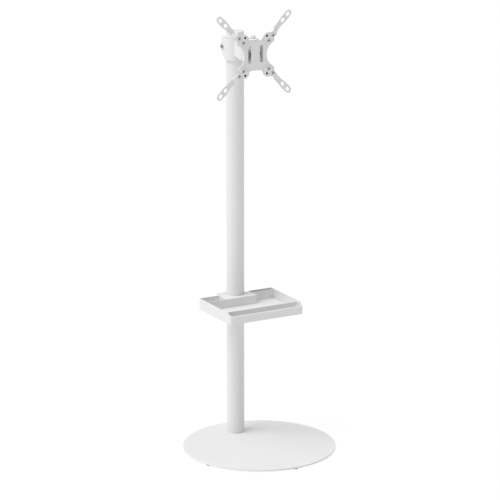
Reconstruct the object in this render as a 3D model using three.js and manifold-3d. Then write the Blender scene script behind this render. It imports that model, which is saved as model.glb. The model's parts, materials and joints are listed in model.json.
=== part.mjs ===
// A floor-standing pole display stand: a round steel base, an off-centre pole, a sliding
// accessory tray, and a sliding head that swivels and tilts a four-armed screen plate.
// Millimetres, +Z up, front towards -Y. The origin is the middle of the base, on the floor.

import * as THREE from 'three';
import { mergeVertices } from 'three/addons/utils/BufferGeometryUtils.js';
import Module from 'manifold-3d';

const wasm = await Module();
wasm.setup();

// ---- driving dimensions ----

const GAP = 0.3; // clearance between neighbouring pieces
const BASE_RADIUS = 205;
const BASE_THICKNESS = 5;
const BASE_EDGE = 1;
const FOOT_HEIGHT = 3;
const FOOT_RADIUS = 11;
const FOOT_CIRCLE = 191;
const FOOT_COUNT = 5;

const POLE_Y = 132;
const POLE_RADIUS = 24;
const POLE_WALL = 2;
const POLE_TOP = 1113;
const CAP_TOP = 1116.5;
const CAP_EDGE = 2.4;
const CAP_STEM = 15;
const PLUG_HEIGHT = 20;
const BASE_SCREW_CIRCLE = 12;
const BASE_SCREW_COUNT = 3;

const LINER_INNER = POLE_RADIUS + GAP;
const LINER_OUTER = LINER_INNER + 0.9;
const LINER_SPLIT = 3;
const LINER_INSET = 0.5;
const COLLAR_BORE = LINER_OUTER + GAP;
const COLLAR_OUTER = 28.5;

const TRAY_HALF_WIDTH = 111.3;
const TRAY_FRONT = POLE_Y - 174.5;
const TRAY_BACK = POLE_Y;
const TRAY_BOTTOM = 369.6;
const TRAY_RIM = 399.5;
const TRAY_LIP = 387.2;
const TRAY_FLOOR = 374.5;
const TRAY_FLOOR_UNDER = 372;
const TRAY_WALL = 2.5;
const TRAY_CORNER = 8.5;
const TRAY_REAR_CORNER = 4;
const TROUGH_CORNER = 9;
const TRAY_DROP_LENGTH = 32;
const TROUGH_WALL_FRONT = POLE_Y - 148.2;
const TROUGH_WALL_TOP = 397.3;
const HOUSING_FRONT = POLE_Y - 42;
const HOUSING_LEFT = -51.5;
const HOUSING_RIGHT = 44;
const HOUSING_TOP = 398;
const REAR_WALL_FRONT = POLE_Y - 16;
const REAR_WALL_TOP = 397.5;
const TRAY_SLIT_Y = POLE_Y + 12;
const TRAY_SLIT = 2;
const TRAY_EAR_LEFT = -46;
const TRAY_EAR_BACK = POLE_Y + 25.5;
const TRAY_SCREW_X = -36;
const TRAY_SCREW_Z = 386;

const HEAD_Z = 1069.5; // height of the screen's centre
const HEAD_BOTTOM = 1040.5;
const HEAD_TOP = 1098;
const EAR_HALF_WIDTH = 18;
const EAR_BACK = POLE_Y + 43.8;
const EAR_BOSS = 2;
const CLAMP_BOSS_RADIUS = 8.2;
const EAR_SLIT = 2.5;
const CLAMP_Y = POLE_Y + 34.5;
const CLAMP_Z = 1071;
const NECK_HALF_WIDTH = 16;
const NECK_FRONT = POLE_Y - 64;
const NECK_BOTTOM = 1053.5;
const NECK_FLANGE_BACK = POLE_Y - 45;
const NECK_FLANGE_BOTTOM = 1051;
const NECK_TOP = 1095;

const TILT_Y = POLE_Y - 88;
const TILT_Z = 1070;
const YOKE_BOTTOM = NECK_FLANGE_BOTTOM;
const YOKE_TOP = 1086;
const YOKE_FRONT = POLE_Y - 97;
const YOKE_WEB = 6.7;
const CHEEK_INNER = 11;
const SWIVEL_Y = POLE_Y - 97;
const BARREL_RADIUS = 10.4;
const TAB_RADIUS = 15.5;
const TAB_THICKNESS = 3;
const TAB_TOP = 1109.5; // upper tab's top face, level with the plate's upper edge
const LOWER_TAB = 1041; // lower tab's underside
const PLATE_LOWER_EDGE = 1029.8;
const DOME_HEIGHT = 3;
const SWIVEL_NUT = 5.5;
const BLOCK_FLAT = 5.7; // half width of the swivel block between its flats
const PAD_RADIUS = 8.6;
const PAD_THICKNESS = 3.5;
const PAD_Y = SWIVEL_Y - PAD_RADIUS;
const PAD_Z = TILT_Z - 0.7;

const PLATE_FRONT = 20.6;
const PLATE_BACK = 23.4;
const PLATE_WAIST = 33.2;
const PLATE_SIDE_ARC = 36;
const SIDE_ARC_END = 27; // height above the screen's centre where the curved side meets a lobe
const PLATE_HALF_HEIGHT = 39.7;
const LOBE_INNER = 29.5; // sizes of the plate's corner lobes, from the screen's centre
const LOBE_NEAR = 34.2;
const LOBE_FAR = 55.6;
const WINDOW_INNER = 13.2;
const WINDOW_OUTER = 22.4;
const WINDOW_BOTTOM = 1050;
const WINDOW_TOP = 1095.1;
const WINDOW_BULGE = 4.5; // radius of the round bulge on the right window's inner edge
const CHEEK_NEAR = 22.8; // the plate's two side cheeks, bent back beside its windows
const CHEEK_FAR = 25;
const CHEEK_BACK = 46;
const CHEEK_LOW = 1045.5;
const CHEEK_HIGH = 1097;
const ARM_FRONT = 17.6;
const ARM_SHEET = 2.7;
const ARM_JOGGLE = 10;
const JOGGLE_START = 81.7; // both measured along the arm, from the screen's centre
const JOGGLE_END = 90.3;
const SCREW_NEAR = 37.5; // half of the 75 mm hole square
const SCREW_FAR = 50; // half of the 100 mm hole square
const SPARE_HOLE_X = 32.3;
const SPARE_HOLE_RADIUS = 3.3;
const SLOT_NEAR = 85.2;
const SLOT_FAR = 100; // half of the 200 mm hole square
const SLOT_WIDTH = 9.2;
const SLOT_LENGTH = 12.3;

const PIVOT_BORE = 4.3; // radius of every hole for an 8 mm bolt
const ARM_SCREW_BORE = 2.3;
const TRAY_SCREW_BORE = 2.3;
const FASTENER_SIDES = 12;
const SMALL_HOLE_SIDES = 12;

// ---- finishes ----

const finish = (color, roughness, metalness) => ({ color, roughness, metalness });
const WHITE_STEEL = finish(0xe9eaeb, 0.45, 0.1);
const WHITE_PLASTIC = finish(0xe6e7e8, 0.5, 0);
const ZINC = finish(0xaab4b8, 0.3, 0.9);
const BLACK_STEEL = finish(0x1b1c1e, 0.4, 0.6);
const RUBBER = finish(0x141414, 0.85, 0);
const NYLON = finish(0x202225, 0.6, 0);

// ---- solids ----

// A closed solid from a geometry, welded, without the slivers that meet on a lathe's axis.
function solid(geometry) {
  const bare = geometry.clone();
  bare.deleteAttribute('normal');
  bare.deleteAttribute('uv');
  const welded = mergeVertices(bare, 1e-4);
  const kept = [];
  for (let i = 0; i < welded.index.count; i += 3) {
    const [a, b, c] = [welded.index.getX(i), welded.index.getX(i + 1), welded.index.getX(i + 2)];
    if (a !== b && b !== c && a !== c) {
      kept.push(a, b, c);
    }
  }
  const vertProperties = new Float32Array(welded.attributes.position.array);
  return new wasm.Manifold(
    new wasm.Mesh({ numProp: 3, vertProperties, triVerts: new Uint32Array(kept) })
  );
}

function geometryOf(body) {
  const mesh = body.getMesh();
  const geometry = new THREE.BufferGeometry();
  geometry.setAttribute('position', new THREE.BufferAttribute(new Float32Array(mesh.vertProperties), 3));
  geometry.setIndex(new THREE.BufferAttribute(new Uint32Array(mesh.triVerts), 1));
  geometry.computeVertexNormals();
  return geometry;
}

function box(x0, x1, y0, y1, z0, z1) {
  const geometry = new THREE.BoxGeometry(x1 - x0, y1 - y0, z1 - z0);
  geometry.translate((x0 + x1) / 2, (y0 + y1) / 2, (z0 + z1) / 2);
  return solid(geometry);
}

// A solid of revolution about a vertical line at (x, y); profile points are [radius, height].
function turned(profile, x = 0, y = 0, sides = 48) {
  const points = profile.map(([radius, height]) => new THREE.Vector2(radius, height));
  const geometry = new THREE.LatheGeometry(points, sides);
  geometry.rotateX(Math.PI / 2);
  geometry.translate(x, y, 0);
  return solid(geometry);
}

// A round bar along an axis; a and b are its centre on the other two axes, in X, Y, Z order.
function bar(axis, radius, low, high, a, b, sides = 32) {
  const geometry = new THREE.CylinderGeometry(radius, radius, high - low, sides);
  const middle = (low + high) / 2;
  if (axis === 'x') {
    geometry.rotateZ(Math.PI / 2);
    geometry.translate(middle, a, b);
  } else if (axis === 'y') {
    geometry.translate(a, middle, b);
  } else {
    geometry.rotateX(Math.PI / 2);
    geometry.translate(a, b, middle);
  }
  return solid(geometry);
}

// A closed outline through the given [a, b, radius] corners, each rounded by its own radius.
function roundedOutline(corners) {
  const shape = new THREE.Shape();
  const count = corners.length;
  corners.forEach(([a, b, radius], i) => {
    const here = new THREE.Vector2(a, b);
    const before = new THREE.Vector2(...corners[(i + count - 1) % count].slice(0, 2)).sub(here);
    const after = new THREE.Vector2(...corners[(i + 1) % count].slice(0, 2)).sub(here);
    const turn = Math.abs(before.angleTo(after));
    const reach = radius / Math.tan(turn / 2);
    const start = here.clone().addScaledVector(before.normalize(), reach);
    const end = here.clone().addScaledVector(after.normalize(), reach);
    if (i === 0) {
      shape.moveTo(start.x, start.y);
    } else {
      shape.lineTo(start.x, start.y);
    }
    if (radius > 0) {
      const toCentre = before.clone().add(after).normalize();
      const centre = here.clone().addScaledVector(toCentre, radius / Math.sin(turn / 2));
      const from = Math.atan2(start.y - centre.y, start.x - centre.x);
      const to = Math.atan2(end.y - centre.y, end.x - centre.x);
      const sweep = Math.atan2(Math.sin(to - from), Math.cos(to - from));
      shape.absarc(centre.x, centre.y, radius, from, from + sweep, sweep < 0);
    }
  });
  return shape;
}

// Extrusions of an outline: slabZ takes (x, y), slabX takes (y, z) and slabY takes (x, z).
function slabZ(shape, z0, z1, curveSegments = 4) {
  const geometry = new THREE.ExtrudeGeometry(shape, { depth: z1 - z0, bevelEnabled: false, curveSegments });
  geometry.translate(0, 0, z0);
  return solid(geometry);
}

function slabX(shape, x0, x1, curveSegments = 4) {
  const geometry = new THREE.ExtrudeGeometry(shape, { depth: x1 - x0, bevelEnabled: false, curveSegments });
  const turn = new THREE.Matrix4().makeBasis(
    new THREE.Vector3(0, 1, 0), new THREE.Vector3(0, 0, 1), new THREE.Vector3(1, 0, 0)
  );
  geometry.applyMatrix4(turn);
  geometry.translate(x0, 0, 0);
  return solid(geometry);
}

function slabY(shape, y0, y1, curveSegments = 3) {
  const geometry = new THREE.ExtrudeGeometry(shape, { depth: y1 - y0, bevelEnabled: false, curveSegments });
  const turn = new THREE.Matrix4().makeBasis(
    new THREE.Vector3(1, 0, 0), new THREE.Vector3(0, 0, 1), new THREE.Vector3(0, -1, 0)
  );
  geometry.applyMatrix4(turn);
  geometry.translate(0, y1, 0);
  return solid(geometry);
}

function rectangle(a0, a1, b0, b1, radius) {
  return roundedOutline([[a0, b0, radius], [a1, b0, radius], [a1, b1, radius], [a0, b1, radius]]);
}

const stand = new THREE.Group();
stand.name = 'pole_display_stand';

function addPart(name, body, look) {
  const material = new THREE.MeshStandardMaterial(look);
  const mesh = new THREE.Mesh(geometryOf(body), material);
  mesh.name = name;
  stand.add(mesh);
}

// ---- fasteners, built along an axis ----

const AXES = {
  x: (body) => body.rotate([0, 90, 0]),
  y: (body) => body.rotate([-90, 0, 0]),
  z: (body) => body,
};

// A cap screw: its head's underside is at height 0 and its shank points to +Z before placing.
function capScrew(headRadius, headHeight, shankRadius, length, keyRadius) {
  const edge = headHeight * 0.16;
  const body = turned([
    [0, -headHeight], [headRadius - edge, -headHeight], [headRadius, -headHeight + edge],
    [headRadius, 0], [shankRadius, 0], [shankRadius, length], [0, length],
  ], 0, 0, FASTENER_SIDES);
  return body.subtract(bar('z', keyRadius, -headHeight - 1, -headHeight * 0.4, 0, 0, 6));
}

// A dome-headed screw, laid out like the cap screw.
function buttonScrew(headRadius, headHeight, shankRadius, length, keyRadius) {
  const body = turned([
    [0, -headHeight], [headRadius * 0.5, -headHeight],
    [headRadius * 0.85, -headHeight * 0.6], [headRadius, 0],
    [shankRadius, 0], [shankRadius, length], [0, length],
  ], 0, 0, FASTENER_SIDES);
  return body.subtract(bar('z', keyRadius, -headHeight - 1, -headHeight * 0.35, 0, 0, 6));
}

// A hexagon nut standing on height 0, across-corners radius given.
function hexNut(cornerRadius, height, holeRadius) {
  const hole = bar('z', holeRadius, -1, height + 1, 0, 0, FASTENER_SIDES);
  return bar('z', cornerRadius, 0, height, 0, 0, 6).subtract(hole);
}

// Turns a fastener from +Z to an axis, or to that axis reversed, and puts its origin at a point.
function place(body, axis, x, y, z, reversed = false) {
  const upright = reversed ? body.rotate([180, 0, 0]) : body;
  return AXES[axis](upright).translate([x, y, z]);
}

// ---- base and pole ----

function addBase() {
  const top = FOOT_HEIGHT + BASE_THICKNESS;
  const headRadius = 6.4;
  const holeRadius = 3.4;
  let plate = turned([
    [0, FOOT_HEIGHT], [BASE_RADIUS - BASE_EDGE * 0.6, FOOT_HEIGHT],
    [BASE_RADIUS, FOOT_HEIGHT + BASE_EDGE * 0.6],
    [BASE_RADIUS, top - BASE_EDGE], [BASE_RADIUS - BASE_EDGE * 0.3, top - BASE_EDGE * 0.3],
    [BASE_RADIUS - BASE_EDGE, top], [0, top],
  ], 0, 0, 96);
  const plugBottom = top + GAP;
  let plug = turned([
    [0, plugBottom], [POLE_RADIUS - POLE_WALL - 0.4, plugBottom],
    [POLE_RADIUS - POLE_WALL - 0.4, plugBottom + PLUG_HEIGHT - 1],
    [POLE_RADIUS - POLE_WALL - 1.4, plugBottom + PLUG_HEIGHT], [0, plugBottom + PLUG_HEIGHT],
  ], 0, POLE_Y, 48);
  for (let i = 0; i < BASE_SCREW_COUNT; i += 1) {
    const angle = Math.PI / 2 + (i * 2 * Math.PI) / BASE_SCREW_COUNT;
    const x = BASE_SCREW_CIRCLE * Math.cos(angle);
    const y = POLE_Y + BASE_SCREW_CIRCLE * Math.sin(angle);
    plate = plate.subtract(turned([
      [0, FOOT_HEIGHT - 1], [headRadius + 0.4, FOOT_HEIGHT - 1], [headRadius, FOOT_HEIGHT],
      [holeRadius, FOOT_HEIGHT + 3.4], [holeRadius, top + 1], [0, top + 1],
    ], x, y, 16));
    plug = plug.subtract(bar('z', holeRadius, plugBottom - 1, plugBottom + 15, x, y, 16));
    addPart(`base_screw_${i + 1}`, baseScrew(x, y), BLACK_STEEL);
  }
  addPart('base_plate', plate, WHITE_STEEL);
  addPart('pole_plug', plug, ZINC);
  addFeet();
}

function baseScrew(x, y) {
  const bottom = FOOT_HEIGHT + 0.3;
  const body = turned([
    [0, bottom], [5.6, bottom], [3, bottom + 3], [3, bottom + 19], [0, bottom + 19],
  ], x, y, 16);
  return body.subtract(bar('z', 2, bottom - 1, bottom + 2, x, y, 6));
}

function addFeet() {
  for (let i = 0; i < FOOT_COUNT; i += 1) {
    const angle = -Math.PI / 2 + (i * 2 * Math.PI) / FOOT_COUNT;
    const foot = turned([
      [0, 0], [FOOT_RADIUS - 1, 0], [FOOT_RADIUS, 0.8],
      [FOOT_RADIUS, FOOT_HEIGHT - GAP], [0, FOOT_HEIGHT - GAP],
    ], FOOT_CIRCLE * Math.cos(angle), FOOT_CIRCLE * Math.sin(angle), 24);
    addPart(`foot_${i + 1}`, foot, RUBBER);
  }
}

function addPole() {
  const bottom = FOOT_HEIGHT + BASE_THICKNESS + GAP;
  const inner = POLE_RADIUS - POLE_WALL;
  const tube = turned([
    [inner, bottom], [POLE_RADIUS, bottom], [POLE_RADIUS, POLE_TOP], [inner, POLE_TOP], [inner, bottom],
  ], 0, POLE_Y, 64);
  addPart('pole_tube', tube, WHITE_STEEL);
  const stem = inner - 0.4;
  const rim = POLE_TOP + GAP;
  const cap = turned([
    [0, POLE_TOP - CAP_STEM], [stem - 1, POLE_TOP - CAP_STEM], [stem, POLE_TOP - CAP_STEM + 1], [stem, rim],
    [POLE_RADIUS, rim], [POLE_RADIUS, CAP_TOP - CAP_EDGE], [POLE_RADIUS - 0.7, CAP_TOP - 0.7],
    [POLE_RADIUS - CAP_EDGE, CAP_TOP], [0, CAP_TOP],
  ], 0, POLE_Y, 48);
  addPart('pole_cap', cap, WHITE_PLASTIC);
}

// A thin split sleeve between the pole and a clamp.
function liner(z0, z1, splitAngle) {
  const ring = turned([
    [LINER_INNER, z0], [LINER_OUTER, z0], [LINER_OUTER, z1], [LINER_INNER, z1], [LINER_INNER, z0],
  ], 0, 0, 48);
  const split = box(10, 40, -LINER_SPLIT / 2, LINER_SPLIT / 2, z0 - 1, z1 + 1);
  return ring.subtract(split).rotate([0, 0, splitAngle]).translate([0, POLE_Y, 0]);
}

// ---- tray ----

// The side view of the tray's walls: level, then falling in a curve to the front lip.
function trayProfile() {
  const shape = new THREE.Shape();
  shape.moveTo(TRAY_FRONT - 1, TRAY_BOTTOM);
  shape.lineTo(TRAY_BACK, TRAY_BOTTOM);
  shape.lineTo(TRAY_BACK, TRAY_RIM);
  const bendY = TRAY_FRONT + TRAY_DROP_LENGTH;
  shape.absellipse(bendY, TRAY_LIP, TRAY_DROP_LENGTH, TRAY_RIM - TRAY_LIP, Math.PI / 2, Math.PI, false, 0);
  shape.lineTo(TRAY_FRONT - 1, TRAY_LIP);
  return shape;
}

function trayShell() {
  const inX = TRAY_HALF_WIDTH - TRAY_WALL;
  const outline = roundedOutline([
    [-TRAY_HALF_WIDTH, TRAY_FRONT, TRAY_CORNER], [TRAY_HALF_WIDTH, TRAY_FRONT, TRAY_CORNER],
    [TRAY_HALF_WIDTH, TRAY_BACK, TRAY_REAR_CORNER], [-TRAY_HALF_WIDTH, TRAY_BACK, TRAY_REAR_CORNER],
  ]);
  const troughWallBack = TROUGH_WALL_FRONT + TRAY_WALL;
  const trough = rectangle(-inX, inX, TRAY_FRONT + TRAY_WALL, TROUGH_WALL_FRONT, TROUGH_CORNER);
  const main = rectangle(-inX, inX, troughWallBack, TRAY_BACK - TRAY_WALL, TRAY_REAR_CORNER - TRAY_WALL);
  const under = rectangle(-inX, inX, TRAY_FRONT + TRAY_WALL, TRAY_BACK - TRAY_WALL, TRAY_CORNER - TRAY_WALL);
  const walls = slabX(trayProfile(), -TRAY_HALF_WIDTH - 1, TRAY_HALF_WIDTH + 1, 12);
  let shell = slabZ(outline, TRAY_BOTTOM, TRAY_RIM + 1).intersect(walls);
  for (const compartment of [trough, main]) {
    shell = shell.subtract(slabZ(compartment, TRAY_FLOOR, TRAY_RIM + 2));
  }
  shell = shell.subtract(slabZ(under, TRAY_BOTTOM - 1, TRAY_FLOOR_UNDER));
  const dividerFront = TROUGH_WALL_FRONT - TROUGH_CORNER;
  shell = shell.subtract(box(-inX, inX, dividerFront, troughWallBack + 1, TROUGH_WALL_TOP, TRAY_RIM + 2));
  const floor = TRAY_FLOOR - 0.5;
  const edge = inX + 0.5;
  const front = box(-edge, HOUSING_RIGHT, HOUSING_FRONT, HOUSING_FRONT + TRAY_WALL, floor, HOUSING_TOP);
  const left = box(HOUSING_LEFT, HOUSING_LEFT + TRAY_WALL, HOUSING_FRONT, TRAY_BACK, floor, HOUSING_TOP);
  const right = box(HOUSING_RIGHT - TRAY_WALL, HOUSING_RIGHT, HOUSING_FRONT, TRAY_BACK, floor, HOUSING_TOP);
  const rearBack = REAR_WALL_FRONT + TRAY_WALL;
  const rear = box(HOUSING_RIGHT - 1, edge, REAR_WALL_FRONT, rearBack, floor, REAR_WALL_TOP);
  const boss = box(HOUSING_LEFT, HOUSING_RIGHT, HOUSING_FRONT, TRAY_BACK, TRAY_BOTTOM, TRAY_FLOOR);
  shell = shell.add(front).add(left).add(right).add(rear).add(boss);
  const gateLeft = HOUSING_LEFT + TRAY_WALL;
  const gateRight = HOUSING_RIGHT - TRAY_WALL;
  const gateFront = TRAY_BACK - TRAY_WALL - 1;
  shell = shell.subtract(box(gateLeft, gateRight, gateFront, TRAY_BACK + 1, TRAY_FLOOR, TRAY_RIM + 2));
  shell = shell.subtract(bar('z', COLLAR_OUTER, TRAY_BOTTOM - 1, TRAY_FLOOR + 1, 0, POLE_Y, 48));
  for (const [x, y] of TRAY_FIXINGS) {
    shell = shell.subtract(turned([
      [0, TRAY_BOTTOM - 1], [4.4, TRAY_BOTTOM - 1], [4.4, TRAY_BOTTOM + 0.6], [2.4, TRAY_BOTTOM + 2.8],
      [2.4, TRAY_FLOOR + 1], [0, TRAY_FLOOR + 1],
    ], x, y, 16));
  }
  return shell;
}

const TRAY_FIXINGS = [
  [HOUSING_LEFT + 11, HOUSING_FRONT + 8], [HOUSING_RIGHT - 11, HOUSING_FRONT + 8],
  [HOUSING_LEFT + 11, TRAY_BACK - 18], [HOUSING_RIGHT - 11, TRAY_BACK - 18],
];

// The clamp: a block inside the tray's housing, a band behind the pole, and an ear pulled in
// by one screw across a slit on the left.
function trayCollar() {
  const z0 = TRAY_FLOOR + GAP;
  const z1 = HOUSING_TOP;
  const left = HOUSING_LEFT + TRAY_WALL + GAP;
  const right = HOUSING_RIGHT - TRAY_WALL - GAP;
  const front = HOUSING_FRONT + TRAY_WALL + GAP;
  const block = box(left, right, front, POLE_Y, z0, z1);
  const ear = slabZ(rectangle(TRAY_EAR_LEFT, -6, POLE_Y - 6, TRAY_EAR_BACK, 7), z0, z1);
  const band = bar('z', COLLAR_OUTER, z0, z1, 0, POLE_Y, 48);
  const slit = box(-80, -20, TRAY_SLIT_Y - TRAY_SLIT / 2, TRAY_SLIT_Y + TRAY_SLIT / 2, z0 - 1, z1 + 1);
  let collar = block.add(ear).add(band);
  collar = collar.subtract(bar('z', COLLAR_BORE, z0 - 1, z1 + 1, 0, POLE_Y, 48)).subtract(slit);
  collar = collar.subtract(bar('y', 2.9, POLE_Y - 16, POLE_Y + 40, TRAY_SCREW_X, TRAY_SCREW_Z, 16));
  collar = collar.subtract(bar('y', 5.6, TRAY_EAR_BACK - 4, POLE_Y + 40, TRAY_SCREW_X, TRAY_SCREW_Z, 16));
  collar = collar.subtract(box(
    TRAY_SCREW_X - 4.8, TRAY_SCREW_X + 4.8, POLE_Y - 11, POLE_Y - 6, z0 - 1, TRAY_SCREW_Z + 4.8
  ));
  for (const [x, y] of TRAY_FIXINGS) {
    collar = collar.subtract(bar('z', TRAY_SCREW_BORE, z0 - 1, z0 + 12, x, y, 16));
  }
  return collar;
}

function addTray() {
  addPart('tray_shell', trayShell(), WHITE_PLASTIC);
  addPart('tray_collar', trayCollar(), WHITE_PLASTIC);
  addPart('tray_liner', liner(TRAY_FLOOR + GAP, HOUSING_TOP - LINER_INSET, 150), WHITE_PLASTIC);
  TRAY_FIXINGS.forEach(([x, y], i) => {
    const bottom = TRAY_BOTTOM + 0.4;
    const screw = turned([
      [0, bottom], [4, bottom], [2, bottom + 2.2], [2, bottom + 14], [0, bottom + 14],
    ], x, y, 16).subtract(bar('z', 1.3, bottom - 1, bottom + 1.6, x, y, 6));
    addPart(`tray_screw_${i + 1}`, screw, ZINC);
  });
  const clampScrew = capScrew(4.6, 4.6, 2.5, 36, 2);
  const seat = TRAY_EAR_BACK - 4 + GAP;
  addPart('tray_clamp_screw', place(clampScrew, 'y', TRAY_SCREW_X, seat, TRAY_SCREW_Z, true), ZINC);
  const nut = hexNut(4.6, 4, 2.9);
  addPart('tray_clamp_nut', place(nut, 'y', TRAY_SCREW_X, POLE_Y - 10.5, TRAY_SCREW_Z), ZINC);
}

// ---- head: clamp, neck and yoke ----

function headCollar() {
  const earCorners = [
    [POLE_Y, HEAD_BOTTOM, 0], [POLE_Y + 26, HEAD_BOTTOM, 1], [POLE_Y + 27, HEAD_BOTTOM + 3.5, 1],
    [POLE_Y + 37, HEAD_BOTTOM + 8, 2], [EAR_BACK, HEAD_BOTTOM + 17.5, 5], [EAR_BACK, HEAD_TOP - 9, 3],
    [POLE_Y + 38, HEAD_TOP, 3], [POLE_Y, HEAD_TOP, 0],
  ];
  const ears = slabX(roundedOutline(earCorners), -EAR_HALF_WIDTH, EAR_HALF_WIDTH);
  const bossEnd = EAR_HALF_WIDTH + EAR_BOSS;
  const boss = bar('x', CLAMP_BOSS_RADIUS, -bossEnd, bossEnd, CLAMP_Y - 0.5, CLAMP_Z, 32);
  const neckCorners = [
    [NECK_FRONT, NECK_FLANGE_BOTTOM, 0.5], [NECK_FLANGE_BACK, NECK_FLANGE_BOTTOM, 2],
    [NECK_FLANGE_BACK + 1, NECK_BOTTOM, 0], [POLE_Y - 10, NECK_BOTTOM, 0], [POLE_Y - 10, NECK_TOP, 0],
    [NECK_FRONT, NECK_TOP, 1],
  ];
  const neck = slabX(roundedOutline(neckCorners), -NECK_HALF_WIDTH, NECK_HALF_WIDTH);
  let collar = bar('z', COLLAR_OUTER, HEAD_BOTTOM, HEAD_TOP, 0, POLE_Y, 48).add(ears).add(boss).add(neck);
  collar = collar.subtract(bar('z', COLLAR_BORE, HEAD_BOTTOM - 1, HEAD_TOP + 1, 0, POLE_Y, 48));
  const slit = EAR_SLIT / 2;
  collar = collar.subtract(box(-slit, slit, POLE_Y + 10, EAR_BACK + 1, HEAD_BOTTOM - 1, HEAD_TOP + 1));
  collar = collar.subtract(bar('x', PIVOT_BORE, -30, 30, CLAMP_Y, CLAMP_Z, 16));
  return collar.subtract(bar('y', PIVOT_BORE, NECK_FRONT - 1, NECK_FRONT + 26, 0, TILT_Z, 16));
}

function tiltYoke() {
  const back = NECK_FRONT - GAP;
  const profile = roundedOutline([
    [back, YOKE_BOTTOM, 1], [back, YOKE_TOP, 1], [YOKE_FRONT + 4, YOKE_TOP, 4], [YOKE_FRONT, TILT_Z + 11, 4],
    [YOKE_FRONT, TILT_Z - 14, 4], [YOKE_FRONT + 4, YOKE_BOTTOM, 4],
  ]);
  let yoke = slabX(profile, -NECK_HALF_WIDTH, NECK_HALF_WIDTH);
  const web = back - YOKE_WEB;
  yoke = yoke.subtract(box(-CHEEK_INNER, CHEEK_INNER, YOKE_FRONT - 5, web, YOKE_BOTTOM - 1, YOKE_TOP + 1));
  yoke = yoke.subtract(bar('x', PIVOT_BORE, -30, 30, TILT_Y, TILT_Z, 16));
  return yoke.subtract(bar('y', PIVOT_BORE, back - 10, back + 1, 0, TILT_Z, 16));
}

// The cross piece: an upright barrel for the swivel bolt, thinned by two flats that carry the
// pads, joined to a level barrel for the tilt bolt.
function tiltBlock() {
  const bottom = LOWER_TAB + TAB_THICKNESS + GAP;
  const top = TAB_TOP - TAB_THICKNESS - GAP;
  const width = CHEEK_INNER - 0.4;
  const flats = PAD_RADIUS + 4;
  let block = bar('z', BARREL_RADIUS, bottom, top, 0, SWIVEL_Y, 32);
  for (const side of [-1, 1]) {
    const edges = [side * BLOCK_FLAT, side * 20];
    block = block.subtract(box(
      Math.min(...edges), Math.max(...edges), SWIVEL_Y - 20, SWIVEL_Y + 20, PAD_Z - flats, PAD_Z + flats
    ));
  }
  block = block.add(bar('x', 8, -width, width, TILT_Y, TILT_Z, 32));
  block = block.add(box(-BLOCK_FLAT, BLOCK_FLAT, SWIVEL_Y, TILT_Y, TILT_Z - 8, TILT_Z + 8));
  block = block.add(box(-width, width, TILT_Y - 8, TILT_Y + 8, bottom + 1, top - 10));
  block = block.subtract(bar('z', PIVOT_BORE, bottom - 1, top + 1, 0, SWIVEL_Y, 16));
  return block.subtract(bar('x', PIVOT_BORE, -30, 30, TILT_Y, TILT_Z, 16));
}

// A half-round pad on one flat of the cross piece, its straight edge towards the plate.
function tiltPad(side) {
  const seat = side * (BLOCK_FLAT + GAP);
  const outer = seat + side * PAD_THICKNESS;
  const round = bar('x', PAD_RADIUS, Math.min(seat, outer), Math.max(seat, outer), PAD_Y, PAD_Z, 32);
  return round.subtract(box(-20, 20, PAD_Y - 20, PAD_Y, PAD_Z - 20, PAD_Z + 20));
}

function addHead() {
  addPart('head_liner', liner(HEAD_BOTTOM + LINER_INSET, HEAD_TOP - LINER_INSET, 90), WHITE_PLASTIC);
  addPart('head_collar', headCollar(), WHITE_STEEL);
  const clampSeat = EAR_HALF_WIDTH + EAR_BOSS + GAP;
  const clampBolt = capScrew(6.4, 2.8, 4, 2 * clampSeat + 8, 2.6);
  addPart('clamp_bolt', place(clampBolt, 'x', -clampSeat, CLAMP_Y, CLAMP_Z), BLACK_STEEL);
  addPart('clamp_nut', place(hexNut(7.5, 6.5, PIVOT_BORE), 'x', clampSeat, CLAMP_Y, CLAMP_Z), BLACK_STEEL);
  addPart('tilt_yoke', tiltYoke(), WHITE_STEEL);
  const yokeSeat = NECK_FRONT - GAP - YOKE_WEB - GAP;
  addPart('yoke_screw', place(capScrew(6.5, 4.4, 4, 30, 2.6), 'y', 0, yokeSeat, TILT_Z), BLACK_STEEL);
  addPart('tilt_block', tiltBlock(), WHITE_STEEL);
  [-1, 1].forEach((side, i) => {
    addPart(`tilt_pad_${i + 1}`, tiltPad(side), NYLON);
  });
  const tiltSeat = NECK_HALF_WIDTH + GAP;
  const tiltBolt = capScrew(6, 2.4, 4, 2 * tiltSeat + 2.5, 2.2);
  addPart('tilt_bolt', place(tiltBolt, 'x', -tiltSeat, TILT_Y, TILT_Z), BLACK_STEEL);
  addPart('tilt_nut', place(hexNut(6.4, 2.5, PIVOT_BORE), 'x', tiltSeat, TILT_Y, TILT_Z), BLACK_STEEL);
  const domeSeat = TAB_TOP + GAP;
  const dome = turned([
    [PIVOT_BORE, domeSeat], [15.2, domeSeat], [15.2, domeSeat + 0.9], [12.5, domeSeat + DOME_HEIGHT * 0.7],
    [8.5, domeSeat + DOME_HEIGHT], [PIVOT_BORE, domeSeat + DOME_HEIGHT], [PIVOT_BORE, domeSeat],
  ], 0, SWIVEL_Y, 32);
  addPart('swivel_dome', dome, WHITE_PLASTIC);
  const boltSeat = domeSeat + DOME_HEIGHT + GAP;
  const nutTop = LOWER_TAB - GAP;
  const swivelBolt = swivelScrew(boltSeat - nutTop + SWIVEL_NUT + 1.5).translate([0, SWIVEL_Y, boltSeat]);
  addPart('swivel_bolt', swivelBolt, WHITE_STEEL);
  const swivelNut = hexNut(7, SWIVEL_NUT, PIVOT_BORE).translate([0, SWIVEL_Y, nutTop - SWIVEL_NUT]);
  addPart('swivel_nut', swivelNut, ZINC);
}

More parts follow.
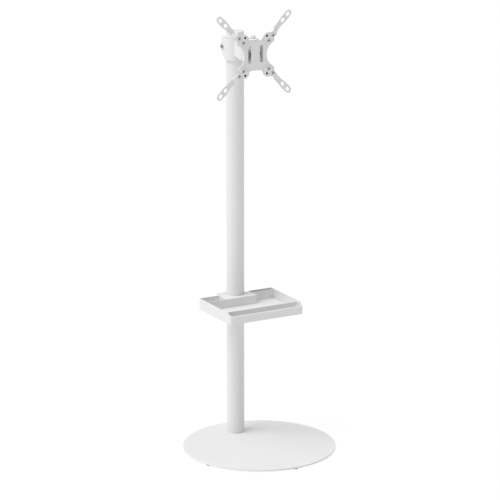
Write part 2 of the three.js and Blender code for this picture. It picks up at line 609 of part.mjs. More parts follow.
// A bolt hanging from height 0, with a round knob-like head above it.
function swivelScrew(length) {
  return turned([
    [0, -length], [3.5, -length], [4, -length + 0.5], [4, 0],
    [6.8, 0], [6.8, 5.8], [6.2, 6.8], [5, 7.2], [0, 7.2],
  ], 0, 0, 32);
}

// ---- head: plate and arms ----

// A point on the front view, from its distance along a diagonal and its offset towards the
// vertical centre line; sideX and sideZ pick the quadrant.
function diagonal(along, across, sideX, sideZ) {
  return [(sideX * (along - across)) / Math.SQRT2, HEAD_Z + (sideZ * (along + across)) / Math.SQRT2];
}

function plateOutline() {
  const quarter = [
    [15.2, PLATE_HALF_HEIGHT, 0], [22, PLATE_HALF_HEIGHT + 6, 2], [LOBE_INNER, LOBE_FAR, 3],
    [LOBE_FAR, LOBE_FAR, 8], [LOBE_FAR, LOBE_NEAR, 3],
  ];
  const corners = [];
  const side = Math.asin(SIDE_ARC_END / PLATE_SIDE_ARC);
  for (const [sideX, sideZ] of [[1, 1], [1, -1], [-1, -1], [-1, 1]]) {
    const lobe = quarter.map(([x, z, radius]) => [sideX * x, HEAD_Z + sideZ * z, radius]);
    const arc = [];
    for (let i = 0; i <= 5; i += 1) {
      const angle = side * (1 - i / 6);
      const x = PLATE_WAIST + PLATE_SIDE_ARC * (1 - Math.cos(angle));
      arc.push([sideX * x, HEAD_Z + sideZ * PLATE_SIDE_ARC * Math.sin(angle), 0]);
    }
    const run = [...lobe, ...arc];
    corners.push(...(sideX * sideZ > 0 ? run : run.reverse()));
  }
  return roundedOutline(corners);
}

function plateWindow(side) {
  const inner = side * WINDOW_INNER;
  const outer = side * WINDOW_OUTER;
  const low = Math.min(inner, outer);
  const high = Math.max(inner, outer);
  const slot = slabY(rectangle(low, high, WINDOW_BOTTOM, WINDOW_TOP, 1), PLATE_FRONT - 1, PLATE_BACK + 1);
  if (side < 0) {
    return slot;
  }
  const bulgeX = inner + WINDOW_BULGE / 2 + 0.25;
  return slot.add(bar('y', WINDOW_BULGE, PLATE_FRONT - 1, PLATE_BACK + 1, bulgeX, TILT_Z + 3, 24));
}

function tab(z0) {
  const round = bar('z', TAB_RADIUS, z0, z0 + TAB_THICKNESS, 0, SWIVEL_Y, 32);
  const joining = box(-TAB_RADIUS, TAB_RADIUS, PLATE_FRONT, SWIVEL_Y, z0, z0 + TAB_THICKNESS);
  const ahead = box(-40, 40, SWIVEL_Y - 60, PLATE_FRONT, z0 - 1, z0 + TAB_THICKNESS + 1);
  return round.add(joining).subtract(ahead);
}

// A cheek bent back beside a window, its rear corners rounded.
function plateCheek(side) {
  const profile = roundedOutline([
    [PLATE_FRONT + 0.5, CHEEK_LOW, 0], [CHEEK_BACK - 14, CHEEK_LOW, 4], [CHEEK_BACK, CHEEK_LOW + 7, 4],
    [CHEEK_BACK, CHEEK_HIGH, 4],
    [PLATE_FRONT + 0.5, CHEEK_HIGH, 0],
  ]);
  const faces = [side * CHEEK_NEAR, side * CHEEK_FAR];
  return slabX(profile, Math.min(...faces), Math.max(...faces));
}

function vesaPlate() {
  let plate = slabY(plateOutline(), PLATE_FRONT, PLATE_BACK);
  const ends = box(-TAB_RADIUS, TAB_RADIUS, PLATE_FRONT, PLATE_BACK, PLATE_LOWER_EDGE, TAB_TOP);
  plate = plate.add(ends);
  plate = plate.add(tab(TAB_TOP - TAB_THICKNESS)).add(tab(LOWER_TAB));
  plate = plate.add(plateCheek(-1)).add(plateCheek(1));
  plate = plate.subtract(plateWindow(-1)).subtract(plateWindow(1));
  plate = plate.subtract(bar('z', PIVOT_BORE, LOWER_TAB - 1, TAB_TOP + 1, 0, SWIVEL_Y, 16));
  for (const [x, z] of fixings()) {
    plate = plate.subtract(bar('y', ARM_SCREW_BORE, PLATE_FRONT - 1, PLATE_BACK + 1, x, z, SMALL_HOLE_SIDES));
  }
  for (const [sideX, sideZ] of QUADRANTS) {
    const z = HEAD_Z + sideZ * SCREW_FAR;
    const low = PLATE_FRONT - 1;
    plate = plate.subtract(bar('y', SPARE_HOLE_RADIUS, low, PLATE_BACK + 1, sideX * SPARE_HOLE_X, z, 20));
  }
  return plate;
}

const QUADRANTS = [[-1, 1], [1, 1], [1, -1], [-1, -1]];

function fixings() {
  const centres = [];
  for (const [sideX, sideZ] of QUADRANTS) {
    for (const half of [SCREW_NEAR, SCREW_FAR]) {
      centres.push([sideX * half, HEAD_Z + sideZ * half]);
    }
  }
  return centres;
}

// An elongated hole along a diagonal.
function armSlot(half, sideX, sideZ) {
  const along = half * Math.SQRT2;
  const reach = (SLOT_LENGTH - SLOT_WIDTH) / 2;
  const radius = SLOT_WIDTH / 2;
  const [x0, z0] = diagonal(along - reach, 0, sideX, sideZ);
  const [x1, z1] = diagonal(along + reach, 0, sideX, sideZ);
  const ends = bar('y', radius, 0, 60, x0, z0, 16).add(bar('y', radius, 0, 60, x1, z1, 16));
  const corners = [
    [along - reach, -radius], [along + reach, -radius], [along + reach, radius], [along - reach, radius],
  ].map(([distance, across]) => [...diagonal(distance, across, sideX, sideZ), 0]);
  return ends.add(slabY(roundedOutline(corners), 0, 60));
}

function arm(sideX, sideZ) {
  const outline = [
    [45.9, 20.3, 6], [62, 20.6, 7], [74.5, 8.9, 6], [82, 7.1, 4], [108, 7.3, 16], [122, 9.4, 16],
    [135, 9.6, 16], [153.4, 7.6, 7.2], [153.4, -7.6, 7.2], [135, -9.6, 16], [122, -9.4, 16], [108, -7.3, 16],
    [82, -7.1, 4], [45.9, -7.2, 3],
  ].map(([along, across, radius]) => [...diagonal(along, across, sideX, sideZ), radius]);
  const back = ARM_FRONT + ARM_JOGGLE;
  const side = new THREE.Shape([
    [40, ARM_FRONT], [JOGGLE_START, ARM_FRONT], [JOGGLE_END, back], [160, back], [160, back + ARM_SHEET],
    [JOGGLE_END - 1.4, back + ARM_SHEET], [JOGGLE_START - 1.4, ARM_FRONT + ARM_SHEET],
    [40, ARM_FRONT + ARM_SHEET],
  ].map(([along, y]) => new THREE.Vector2(along, y)));
  const bent = slabZ(side, -60, 60).rotate([0, Math.atan2(-sideZ, sideX) * THREE.MathUtils.RAD2DEG, 0]);
  let body = bent.translate([0, 0, HEAD_Z]).intersect(slabY(roundedOutline(outline), 0, 60));
  for (const half of [SCREW_NEAR, SCREW_FAR]) {
    const z = HEAD_Z + sideZ * half;
    body = body.subtract(bar('y', ARM_SCREW_BORE, 0, 60, sideX * half, z, SMALL_HOLE_SIDES));
  }
  const spareZ = HEAD_Z + sideZ * SCREW_FAR;
  body = body.subtract(bar('y', SPARE_HOLE_RADIUS, 0, 60, sideX * SPARE_HOLE_X, spareZ, 20));
  return body.subtract(armSlot(SLOT_NEAR, sideX, sideZ)).subtract(armSlot(SLOT_FAR, sideX, sideZ));
}

function addPlate() {
  addPart('vesa_plate', vesaPlate(), WHITE_STEEL);
  QUADRANTS.forEach(([sideX, sideZ], i) => {
    addPart(`arm_${i + 1}`, arm(sideX, sideZ), WHITE_STEEL);
    const [plugX, plugZ] = [sideX * SPARE_HOLE_X, HEAD_Z + sideZ * SCREW_FAR];
    const plug = bar('y', SPARE_HOLE_RADIUS - GAP, ARM_FRONT + 0.6, PLATE_BACK - GAP, plugX, plugZ, 20);
    addPart(`spare_plug_${i + 1}`, plug, NYLON);
  });
  fixings().forEach(([x, z], i) => {
    const screw = place(buttonScrew(3.7, 2.2, 1.95, 12, 1.3), 'y', x, ARM_FRONT - GAP, z);
    addPart(`arm_screw_${i + 1}`, screw, BLACK_STEEL);
    addPart(`arm_nut_${i + 1}`, place(hexNut(4, 3.2, ARM_SCREW_BORE), 'y', x, PLATE_BACK + GAP, z), ZINC);
  });
}

addBase();
addPole();
addTray();
addHead();
addPlate();

export default stand;
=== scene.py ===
import json
import math

import bmesh
import bpy
from mathutils import Matrix, Vector


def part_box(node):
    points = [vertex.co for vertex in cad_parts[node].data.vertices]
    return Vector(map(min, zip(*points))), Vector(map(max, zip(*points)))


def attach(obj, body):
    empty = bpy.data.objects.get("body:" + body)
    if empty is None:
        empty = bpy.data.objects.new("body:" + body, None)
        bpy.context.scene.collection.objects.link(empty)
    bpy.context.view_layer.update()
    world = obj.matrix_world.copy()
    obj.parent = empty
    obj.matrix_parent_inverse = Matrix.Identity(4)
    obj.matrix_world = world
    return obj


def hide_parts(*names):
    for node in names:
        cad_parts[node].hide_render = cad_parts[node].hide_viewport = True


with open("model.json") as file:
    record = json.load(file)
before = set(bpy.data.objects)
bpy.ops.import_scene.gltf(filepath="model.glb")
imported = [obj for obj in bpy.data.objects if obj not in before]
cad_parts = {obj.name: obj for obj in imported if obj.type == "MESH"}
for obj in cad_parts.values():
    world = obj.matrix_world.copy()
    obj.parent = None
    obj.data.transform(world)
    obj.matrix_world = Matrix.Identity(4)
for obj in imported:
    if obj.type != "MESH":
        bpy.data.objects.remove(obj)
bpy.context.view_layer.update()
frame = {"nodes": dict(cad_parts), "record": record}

TAU = 2 * math.pi

WELD = 1e-6  # points closer than this are one point
SHARP = 35  # an edge that turns by more degrees than this is a hard edge
SHARP_TURNED = 50  # the same for upright turned pieces
SHARP_FOOT = 40  # the same for the feet
FLAT = 0.3  # neighbouring CAD faces within this many degrees are merged
ROUNDING_ERROR = 1e-9  # metres

# Shank radius and thread pitch of each screw size, and its nut's bore.
M4, M5, M6, M8 = (0.0019, 0.0007), (0.0024, 0.0008), (0.0029, 0.001), (0.0039, 0.00125)
M4_NUT_BORE, M5_NUT_BORE, M8_NUT_BORE = 0.0021, 0.0028, 0.0042
CLEARANCE_BORE = 0.0043  # radius of the hole that the swivel bolt runs in

HUB = 0.02  # the flat at the middle of a turned face, as a part of the radius
POLE_WALL = 0.002
SWIVEL_HEAD_HEIGHT = 0.0072


# ---------------------------------------------------------------- materials


def new_material(name):
    """A node material, its node tree and its main shader."""
    material = bpy.data.materials.new(name)
    material.use_nodes = True
    tree = material.node_tree
    shader = tree.nodes["Principled BSDF"]
    return material, tree, shader


def noise(tree, scale, detail=3.0, roughness=0.5):
    """A noise texture in the object's own coordinates; scale is in features per metre."""
    place = tree.nodes.new("ShaderNodeTexCoord")
    texture = tree.nodes.new("ShaderNodeTexNoise")
    texture.inputs["Scale"].default_value = scale
    texture.inputs["Detail"].default_value = detail
    texture.inputs["Roughness"].default_value = roughness
    tree.links.new(place.outputs["Object"], texture.inputs["Vector"])
    return texture.outputs["Fac"]


def ramp(tree, value, low, high):
    """Maps the middle of a noise's range onto a range of numbers or of colours."""
    node = tree.nodes.new("ShaderNodeValToRGB")
    node.color_ramp.elements[0].position = 0.3
    node.color_ramp.elements[1].position = 0.7
    for element, target in zip(node.color_ramp.elements, (low, high)):
        rgb = target if isinstance(target, tuple) else (target,) * 3
        element.color = (*rgb, 1)
    tree.links.new(value, node.inputs["Fac"])
    return node.outputs["Color"]


def bump(tree, height, distance, strength, after=None):
    """A bump of the given depth in metres, laid over another one where there is one."""
    node = tree.nodes.new("ShaderNodeBump")
    node.inputs["Distance"].default_value = distance
    node.inputs["Strength"].default_value = strength
    tree.links.new(height, node.inputs["Height"])
    if after is not None:
        tree.links.new(after, node.inputs["Normal"])
    return node.outputs["Normal"]


def coated_steel(name, colour):
    """Powder coat: fine orange peel, and a trace of speckle and cloudiness in colour and gloss."""
    material, tree, shader = new_material(name)
    cloud = noise(tree, 9, 2)
    fine = noise(tree, 1400, 2)
    peel = noise(tree, 420, 3, 0.55)
    tone = tree.nodes.new("ShaderNodeMix")
    tone.data_type = "RGBA"
    tone.blend_type = "MULTIPLY"
    tone.inputs["Factor"].default_value = 1
    tree.links.new(ramp(tree, cloud, tuple(c * 0.985 for c in colour), colour), tone.inputs["A"])
    tree.links.new(ramp(tree, fine, 0.975, 1.0), tone.inputs["B"])
    tree.links.new(tone.outputs["Result"], shader.inputs["Base Color"])
    tree.links.new(ramp(tree, peel, 0.40, 0.52), shader.inputs["Roughness"])
    grain = bump(tree, fine, 0.00002, 0.6)
    tree.links.new(bump(tree, peel, 0.00006, 0.8, grain), shader.inputs["Normal"])
    shader.inputs["Specular IOR Level"].default_value = 0.4
    return material


def moulded_plastic(name, colour, gloss=(0.42, 0.5)):
    """Moulded plastic with a fine spark-eroded grain."""
    material, tree, shader = new_material(name)
    cloud = noise(tree, 14, 2)
    grain = noise(tree, 1900, 4, 0.6)
    tree.links.new(ramp(tree, cloud, tuple(c * 0.985 for c in colour), colour), shader.inputs["Base Color"])
    tree.links.new(ramp(tree, grain, *gloss), shader.inputs["Roughness"])
    tree.links.new(bump(tree, grain, 0.00003, 0.7), shader.inputs["Normal"])
    shader.inputs["Specular IOR Level"].default_value = 0.4
    return material


def plated_steel(name, colour, gloss):
    """Zinc plating or black oxide: metal with turned marks and a cloudy sheen."""
    material, tree, shader = new_material(name)
    cloud = noise(tree, 260, 3)
    marks = noise(tree, 2400, 2)
    dark = tuple(c * 0.8 for c in colour)
    tree.links.new(ramp(tree, cloud, dark, colour), shader.inputs["Base Color"])
    tree.links.new(ramp(tree, cloud, gloss, gloss + 0.14), shader.inputs["Roughness"])
    tree.links.new(bump(tree, marks, 0.00001, 0.5), shader.inputs["Normal"])
    shader.inputs["Metallic"].default_value = 1
    return material


def rubber(name, colour):
    """Dull rubber with a little dust in it."""
    material, tree, shader = new_material(name)
    dust = noise(tree, 300, 4, 0.65)
    grain = noise(tree, 2200, 3)
    tree.links.new(ramp(tree, dust, colour, tuple(c + 0.012 for c in colour)), shader.inputs["Base Color"])
    tree.links.new(ramp(tree, grain, 0.72, 0.9), shader.inputs["Roughness"])
    tree.links.new(bump(tree, grain, 0.00004, 0.8), shader.inputs["Normal"])
    return material


WHITE = 0.78
COATING_TINT = (1, 1.003, 1.006)
PLASTIC_TINT = (0.99, 0.993, 0.996)
LOOKS = {
    "white_coated_steel": coated_steel("powder_coat_white", tuple(WHITE * c for c in COATING_TINT)),
    "white_plastic": moulded_plastic("plastic_white", tuple(WHITE * c for c in PLASTIC_TINT)),
    "bright_hardware": plated_steel("zinc_plated_steel", (0.56, 0.62, 0.65), 0.2),
    "black_hardware": plated_steel("black_oxide_steel", (0.27, 0.325, 0.35), 0.07),
    "foot_rubber": rubber("foot_rubber_black", (0.012, 0.012, 0.013)),
    "black_nylon": moulded_plastic("nylon_black", (0.008, 0.008, 0.009), (0.5, 0.62)),
}

NODE_SLOT = {row["node"]: row["material_slot"] for row in frame["record"]["subparts"]}
NODE_BODY = {n: body for body, nodes in frame["record"]["behaviour"]["bodies"].items() for n in nodes}


# ---------------------------------------------------------------- mesh helpers


def finish_piece(node, mesh, bevel=0.0, segments=2):
    """Turns a mesh into the piece that stands for a CAD node, with its hard edges rounded by bevel."""
    for polygon in mesh.polygons:
        polygon.use_smooth = True
    piece = bpy.data.objects.new(f"{node}.look", mesh)
    bpy.context.scene.collection.objects.link(piece)
    mesh.materials.append(LOOKS[NODE_SLOT[node]])
    if bevel:
        edge = piece.modifiers.new("edge", "BEVEL")
        edge.width = bevel
        edge.segments = segments
        edge.limit_method = "ANGLE"
        edge.angle_limit = math.radians(SHARP)
    flow = piece.modifiers.new("flow", "WEIGHTED_NORMAL")
    flow.keep_sharp = True
    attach(piece, NODE_BODY[node])
    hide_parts(node)


def mesh_from(bm, name, sharp=SHARP):
    """Welds a bmesh, marks its hard edges and makes a mesh of it."""
    bmesh.ops.remove_doubles(bm, verts=bm.verts, dist=WELD)
    bmesh.ops.recalc_face_normals(bm, faces=bm.faces)
    for edge in bm.edges:
        hard = len(edge.link_faces) == 2 and edge.calc_face_angle(0) > math.radians(sharp)
        edge.smooth = not hard
    mesh = bpy.data.meshes.new(name)
    bm.to_mesh(mesh)
    bm.free()
    return mesh


def refined(node, bevel, segments):
    """A CAD node's own shape with its flat faces merged and every hard edge rounded."""
    bm = bmesh.new()
    bm.from_mesh(frame["nodes"][node].data)
    bmesh.ops.remove_doubles(bm, verts=bm.verts, dist=WELD)
    bmesh.ops.dissolve_limit(bm, angle_limit=math.radians(FLAT), verts=bm.verts, edges=bm.edges)
    finish_piece(node, mesh_from(bm, f"{node}_refined"), bevel, segments)


def surface(bm, rings, closed_ends=True):
    """Skins rings of points; each ring has the same count and closes on itself."""
    made = [[bm.verts.new(p) for p in ring] for ring in rings]
    count = len(made[0])
    for lower, upper in zip(made, made[1:]):
        for i in range(count):
            j = (i + 1) % count
            bm.faces.new((lower[i], lower[j], upper[j], upper[i]))
    if closed_ends:
        bm.faces.new(made[0][::-1])
        bm.faces.new(made[-1])


def round_ring(radius, height, sides):
    """A circle of points at one height."""
    return [Vector((radius * math.cos(TAU * i / sides), radius * math.sin(TAU * i / sides), height))
            for i in range(sides)]


def turned(bm, profile, sides, hollow=False):
    """A solid of revolution about Z from (radius, height) points; a hollow one closes on itself."""
    rings = [round_ring(radius, height, sides) for radius, height in profile]
    if hollow:
        rings.append([p.copy() for p in rings[0]])
    surface(bm, rings, closed_ends=not hollow)


def rounded(points, radius, steps):
    """Rounds every corner between the two ends of an open (radius, height) profile."""
    out = [points[0]]
    for before, here, after in zip(points, points[1:], points[2:]):
        a = Vector(before) - Vector(here)
        b = Vector(after) - Vector(here)
        reach = min(radius, a.length * 0.49, b.length * 0.49)
        start = Vector(here) + a.normalized() * reach
        end = Vector(here) + b.normalized() * reach
        for i in range(steps + 1):
            t = i / steps
            p = start.lerp(Vector(here), t).lerp(Vector(here).lerp(end, t), t)
            out.append((p.x, p.y))
    out.append(points[-1])
    return out


def corners(node):
    """A node's middle, and its lowest and highest corners."""
    low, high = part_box(node)
    return (low + high) / 2, low, high


def radius_of(node):
    """The radius of an upright round node."""
    low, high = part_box(node)
    return (high.x - low.x) / 2


def upright(node, bm, mesh_name, sharp=SHARP_TURNED):
    """Moves a piece that was turned about Z, at its true heights, to its node's axis."""
    middle, _, _ = corners(node)
    bmesh.ops.translate(bm, vec=(middle.x, middle.y, 0), verts=bm.verts)
    finish_piece(node, mesh_from(bm, mesh_name, sharp))


TURNS = {
    "+x": Matrix.Rotation(math.radians(90), 4, "Y"),
    "+y": Matrix.Rotation(math.radians(-90), 4, "X"),
    "-y": Matrix.Rotation(math.radians(90), 4, "X"),
    "+z": Matrix.Identity(4),
}


def placed(node, bm, heading, mesh_name):
    """Turns a fastener from +Z to its heading and puts its start at the node's matching face."""
    start, low, high = corners(node)
    axis = "xyz".index(heading[1])
    start[axis] = low[axis] if heading[0] == "+" else high[axis]
    bm.transform(Matrix.Translation(start) @ TURNS[heading])
    finish_piece(node, mesh_from(bm, mesh_name))


def extents(node, heading):
    """A fastener's length along its heading, and its largest radius."""
    low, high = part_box(node)
    size = high - low
    axis = "xyz".index(heading[1])
    across = [size[i] for i in range(3) if i != axis]
    return size[axis], max(across) / 2


# ---------------------------------------------------------------- fasteners


def threaded(bm, radius, start, end, pitch, sides=20):
    """A screw thread from start to end: a helical groove that runs out at both ends."""
    depth = pitch * 0.45
    rings = []
    height = start
    while height <= end + ROUNDING_ERROR:
        fade = min(1, (height - start) / pitch, (end - height) / pitch)
        ring = []
        for i in range(sides):
            angle = TAU * i / sides
            phase = (height / pitch - i / sides) % 1
            ridge = abs(2 * phase - 1)
            r = radius - depth * max(0, fade) * (1 - ridge)
            ring.append(Vector((r * math.cos(angle), r * math.sin(angle), height)))
        rings.append(ring)
        height += pitch / 6
    surface(bm, rings)


def hexagon_ring(radius, height, sides):
    """A hexagon with the given radius at its corners, drawn with the same count as a circle."""
    out = []
    for i in range(sides):
        angle = TAU * i / sides
        reach = radius * math.cos(TAU / 12) / math.cos((angle % (TAU / 6)) - TAU / 12)
        out.append(Vector((reach * math.cos(angle), reach * math.sin(angle), height)))
    return out


def key_socket(key, depth, sides):
    """The rings of a hexagon socket, from its bottom up to a chamfered mouth at height 0."""
    return [hexagon_ring(key * 0.15, depth + key * 0.25, sides), hexagon_ring(key * 0.97, depth, sides),
            hexagon_ring(key, depth * 0.9, sides), hexagon_ring(key, 0.0002, sides),
            round_ring(key * 1.14, 0, sides)]


def socket_head(bm, radius, height, key, sides=48):
    """A cylindrical head from height 0 to its seat, with a socket sunk into its face."""
    edge = 0.0004
    surface(bm, key_socket(key, height * 0.55, sides) + [
        round_ring(radius - edge * 1.6, 0, sides), round_ring(radius - edge * 0.5, edge * 0.35, sides),
        round_ring(radius, edge * 1.3, sides), round_ring(radius, height, sides),
        round_ring(radius * 0.4, height, sides),
    ])


def button_head(bm, radius, height, key, sides=48, steps=8):
    """A head with a wide sloping shoulder from height 0 to its seat, and a socket sunk into its crown."""
    crown = radius * 0.66
    flank = [round_ring(crown * 0.97, 0.00002, sides)]
    for i in range(steps + 1):
        part = i / steps
        flank.append(round_ring(crown + (radius - crown) * part, height * (0.02 + 0.88 * part**1.15), sides))
    surface(bm, key_socket(key, height * 0.65, sides) + flank + [
        round_ring(radius, height, sides), round_ring(radius * 0.4, height, sides),
    ])


def screw(node, heading, size, head_height, key, head=socket_head):
    """A socket screw that starts with its head and points along its heading."""
    shank, pitch = size
    length, radius = extents(node, heading)
    bm = bmesh.new()
    head(bm, radius, head_height, key)
    threaded(bm, shank, head_height * 0.9, length, pitch)
    placed(node, bm, heading, f"{node}_screw")


def nut(node, heading, bore):
    """A hexagon nut with chamfered corners and a bore that is countersunk at both ends."""
    height, radius = extents(node, heading)
    sides = 48
    flat = radius * math.cos(TAU / 12)
    chamfer = (radius - flat) * 1.15

    def ring(z, trim):
        out = []
        for i in range(sides):
            angle = TAU * i / sides
            inset = (angle % (TAU / 6)) - TAU / 12
            reach = min(flat / math.cos(inset), radius - trim)
            out.append(Vector((reach * math.cos(angle), reach * math.sin(angle), z)))
        return out

    bm = bmesh.new()
    drop = chamfer * math.tan(math.radians(30))
    inner = [round_ring(bore * k, z, sides) for k, z in
             ((1.12, 0), (1, bore * 0.12), (0.96, height / 2), (1, height - bore * 0.12), (1.12, height))]
    outer = [ring(0, chamfer), ring(drop * 0.6, chamfer * 0.4), ring(drop, 0),
             ring(height - drop, 0), ring(height - drop * 0.6, chamfer * 0.4), ring(height, chamfer)]
    surface(bm, outer + inner[::-1] + [outer[0]], closed_ends=False)
    placed(node, bm, heading, f"{node}_nut")


# ---------------------------------------------------------------- base and pole


def make_base():
    """The round disc with rounded rims."""
    _, low, high = corners("base_plate")
    radius = radius_of("base_plate")
    profile = [(radius * HUB, low.z), (radius, low.z), (radius, high.z), (radius * HUB, high.z)]
    bm = bmesh.new()
    turned(bm, rounded(profile, radius=0.0011, steps=6), sides=256)
    upright("base_plate", bm, "base_disc")


def make_feet():
    """Round pads, slightly hollow underneath."""
    for node in sorted(n for n in frame["nodes"] if n.startswith("foot_")):
        top = corners(node)[2].z
        radius = radius_of(node)
        hollow = [(radius * 0.1, 0.0006), (radius * 0.44, 0.0005)]
        outer = [(radius * 0.5, 0), (radius * 0.93, 0), (radius, top * 0.5), (radius, top),
                 (radius * 0.3, top)]
        bm = bmesh.new()
        turned(bm, hollow + rounded(outer, radius=0.0005, steps=4), sides=64)
        upright(node, bm, f"{node}_pad", SHARP_FOOT)


def make_pole():
    """The tube, and the cap whose stem stands in it."""
    _, low, high = corners("pole_tube")
    radius = radius_of("pole_tube")
    inside = radius - POLE_WALL
    chamfer = 0.0004
    seam = 0.00005  # the cap sits on this edge, so it is nearly square
    profile = [
        (inside, low.z + chamfer), (inside + chamfer, low.z), (radius - chamfer, low.z),
        (radius, low.z + chamfer), (radius, high.z - seam), (radius - seam, high.z),
        (inside + chamfer, high.z), (inside, high.z - chamfer),
    ]
    bm = bmesh.new()
    turned(bm, profile, sides=128, hollow=True)
    upright("pole_tube", bm, "pole_wall")

    rim = high.z + 0.00004  # just clear of the tube's end
    _, low, high = corners("pole_cap")
    stem = inside - chamfer
    hollow = low.z + 0.002
    top = rounded([(radius, rim), (radius, high.z), (radius * HUB, high.z)], radius=0.0024, steps=8)
    profile = [(radius * HUB, hollow), (stem - 0.003, hollow), (stem - 0.002, low.z),
               (stem - chamfer, low.z), (stem, low.z + 0.001), (stem, rim), (radius - chamfer, rim)]
    bm = bmesh.new()
    turned(bm, profile + top, sides=128)
    upright("pole_cap", bm, "cap_turned")


# ---------------------------------------------------------------- screws in place, and CAD shapes that stay


def make_fasteners():
    for i in range(1, 9):
        screw(f"arm_screw_{i}", "+y", M4, head_height=0.0022, key=0.0013, head=button_head)
        nut(f"arm_nut_{i}", "+y", M4_NUT_BORE)
    for i in range(1, 5):
        screw(f"tray_screw_{i}", "+z", M4, head_height=0.0022, key=0.0013)
    for i in range(1, 4):
        screw(f"base_screw_{i}", "+z", M6, head_height=0.003, key=0.002)
    screw("clamp_bolt", "+x", M8, head_height=0.0028, key=0.0026, head=button_head)
    screw("tilt_bolt", "+x", M8, head_height=0.0024, key=0.0022)
    screw("yoke_screw", "+y", M8, head_height=0.0044, key=0.0026)
    screw("tray_clamp_screw", "-y", M5, head_height=0.0046, key=0.002)
    nut("clamp_nut", "+x", M8_NUT_BORE)
    nut("tilt_nut", "+x", M8_NUT_BORE)
    nut("swivel_nut", "+z", M8_NUT_BORE)
    nut("tray_clamp_nut", "+y", M5_NUT_BORE)


def make_swivel_bolt():
    """The upright pivot, with a plain round head on top."""
    _, low, high = corners("swivel_bolt")
    seat = high.z - SWIVEL_HEAD_HEIGHT
    radius = radius_of("swivel_bolt")
    shank, pitch = M8
    head = [(0.004, seat), (radius, seat), (radius, high.z), (0.0002, high.z)]
    bm = bmesh.new()
    turned(bm, rounded(head, radius=0.0009, steps=5), sides=64)
    threaded(bm, shank, low.z, seat + 0.001, pitch)
    upright("swivel_bolt", bm, "swivel_bolt_turned")


def make_swivel_dome():
    """A domed washer: a low rim, and a quarter of an ellipse that rises to a flat round its bore."""
    _, low, high = corners("swivel_dome")
    radius = radius_of("swivel_dome")
    edge = 0.0002
    foot = 0.0003
    rim = 0.0008
    flat = CLEARANCE_BORE + 0.003
    steps = 12
    dome = [(CLEARANCE_BORE, low.z + edge), (CLEARANCE_BORE + edge, low.z),
            (radius - foot, low.z), (radius, low.z + foot)]
    for i in range(steps + 1):
        angle = TAU / 4 * i / steps
        dome.append((flat + (radius - flat) * math.cos(angle),
                     low.z + rim + (high.z - low.z - rim) * math.sin(angle)))
    dome += [(CLEARANCE_BORE + edge, high.z), (CLEARANCE_BORE, high.z - edge)]
    bm = bmesh.new()
    turned(bm, dome, sides=64, hollow=True)
    upright("swivel_dome", bm, "swivel_dome_turned")


# The pieces that keep their CAD shape: the width of their rounded edges in metres, and its segments.
REFINED = {
    "tray_shell": (0.0007, 3),
    "tray_collar": (0.0006, 3),
    "head_collar": (0.0010, 3),
    "tilt_yoke": (0.0008, 3),
    "tilt_block": (0.0005, 2),
    "vesa_plate": (0.0004, 2),
    **{f"arm_{i}": (0.0004, 2) for i in range(1, 5)},
    "head_liner": (0.0001, 1),
    "tray_liner": (0.0001, 1),
    "tilt_pad_1": (0.0002, 2),
    "tilt_pad_2": (0.0002, 2),
    "pole_plug": (0.0004, 2),
    **{f"spare_plug_{i}": (0.0003, 2) for i in range(1, 5)},
}


# ---------------------------------------------------------------- camera, light and floor


# Fitted to the screen bracket's holes, the base and the tray: millimetres, metres and degrees.
SENSOR_WIDTH, LENS = 36, 212.08
CAMERA_PLACE = (-3.67394, -6.54997, 2.59616)
CAMERA_DOWN, CAMERA_HEADING = 15.2396, -29.0997

WORLD_STRENGTH = 0.41
# name, direction that it shines from, strength, and spread in degrees
SUNS = (
    ("key", (-0.66, 0.05, 0.75), 1.58, 50),
    ("top", (0, 0.1, 1), 1.23, 90),
)
FLOOR_REACH = 40  # from the middle of the floor to each side
FLOOR_GLOW = 0.84
FLOOR_GREY = (0.14, 0.16)


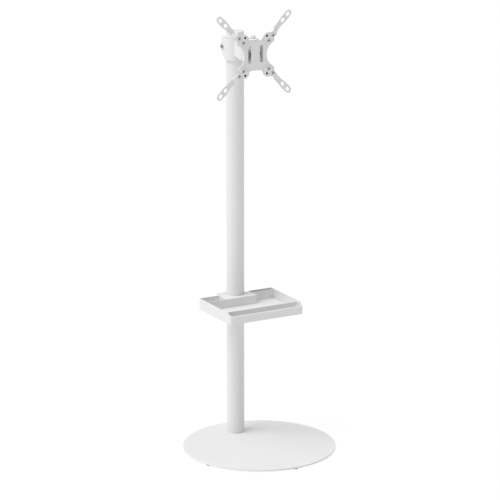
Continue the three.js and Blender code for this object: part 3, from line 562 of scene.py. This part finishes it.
def make_camera():
    data = bpy.data.cameras.new("camera")
    data.sensor_width = SENSOR_WIDTH
    data.lens = LENS
    data.clip_start = 0.1
    data.clip_end = 60
    camera = bpy.data.objects.new("camera", data)
    camera.location = CAMERA_PLACE
    camera.rotation_euler = (math.radians(90 - CAMERA_DOWN), 0, math.radians(CAMERA_HEADING))
    bpy.context.scene.collection.objects.link(camera)
    bpy.context.scene.camera = camera


def sun(name, source, strength, spread):
    """A distant soft light that shines from the direction of source towards the origin."""
    data = bpy.data.lights.new(name, "SUN")
    data.energy = strength
    data.angle = math.radians(spread)
    light = bpy.data.objects.new(name, data)
    light.location = Vector(source).normalized() * 3
    light.rotation_euler = Vector(source).to_track_quat("Z", "Y").to_euler()
    bpy.context.scene.collection.objects.link(light)


def make_light():
    world = bpy.data.worlds.new("studio")
    bpy.context.scene.world = world
    world.use_nodes = True
    sky = world.node_tree.nodes["Background"]
    sky.inputs["Color"].default_value = (1, 1, 1, 1)
    sky.inputs["Strength"].default_value = WORLD_STRENGTH
    for name, source, strength, spread in SUNS:
        sun(name, source, strength, spread)
    bpy.context.scene.view_settings.view_transform = "Standard"
    bpy.context.scene.view_settings.look = "None"


def make_floor():
    bm = bmesh.new()
    bmesh.ops.create_grid(bm, x_segments=2, y_segments=2, size=FLOOR_REACH)
    mesh = bpy.data.meshes.new("floor")
    bm.to_mesh(mesh)
    bm.free()
    floor = bpy.data.objects.new("floor", mesh)
    bpy.context.scene.collection.objects.link(floor)
    material, tree, shader = new_material("studio_floor")
    soft = noise(tree, 3, 2)
    tree.links.new(ramp(tree, soft, *FLOOR_GREY), shader.inputs["Base Color"])
    shader.inputs["Roughness"].default_value = 0.9
    shader.inputs["Specular IOR Level"].default_value = 0.1
    shader.inputs["Emission Color"].default_value = (1, 1, 1, 1)
    shader.inputs["Emission Strength"].default_value = FLOOR_GLOW
    mesh.materials.append(material)


make_camera()
make_base()
make_feet()
make_pole()
for node, (bevel, segments) in REFINED.items():
    refined(node, bevel, segments)
make_fasteners()
make_swivel_bolt()
make_swivel_dome()
make_light()
make_floor()
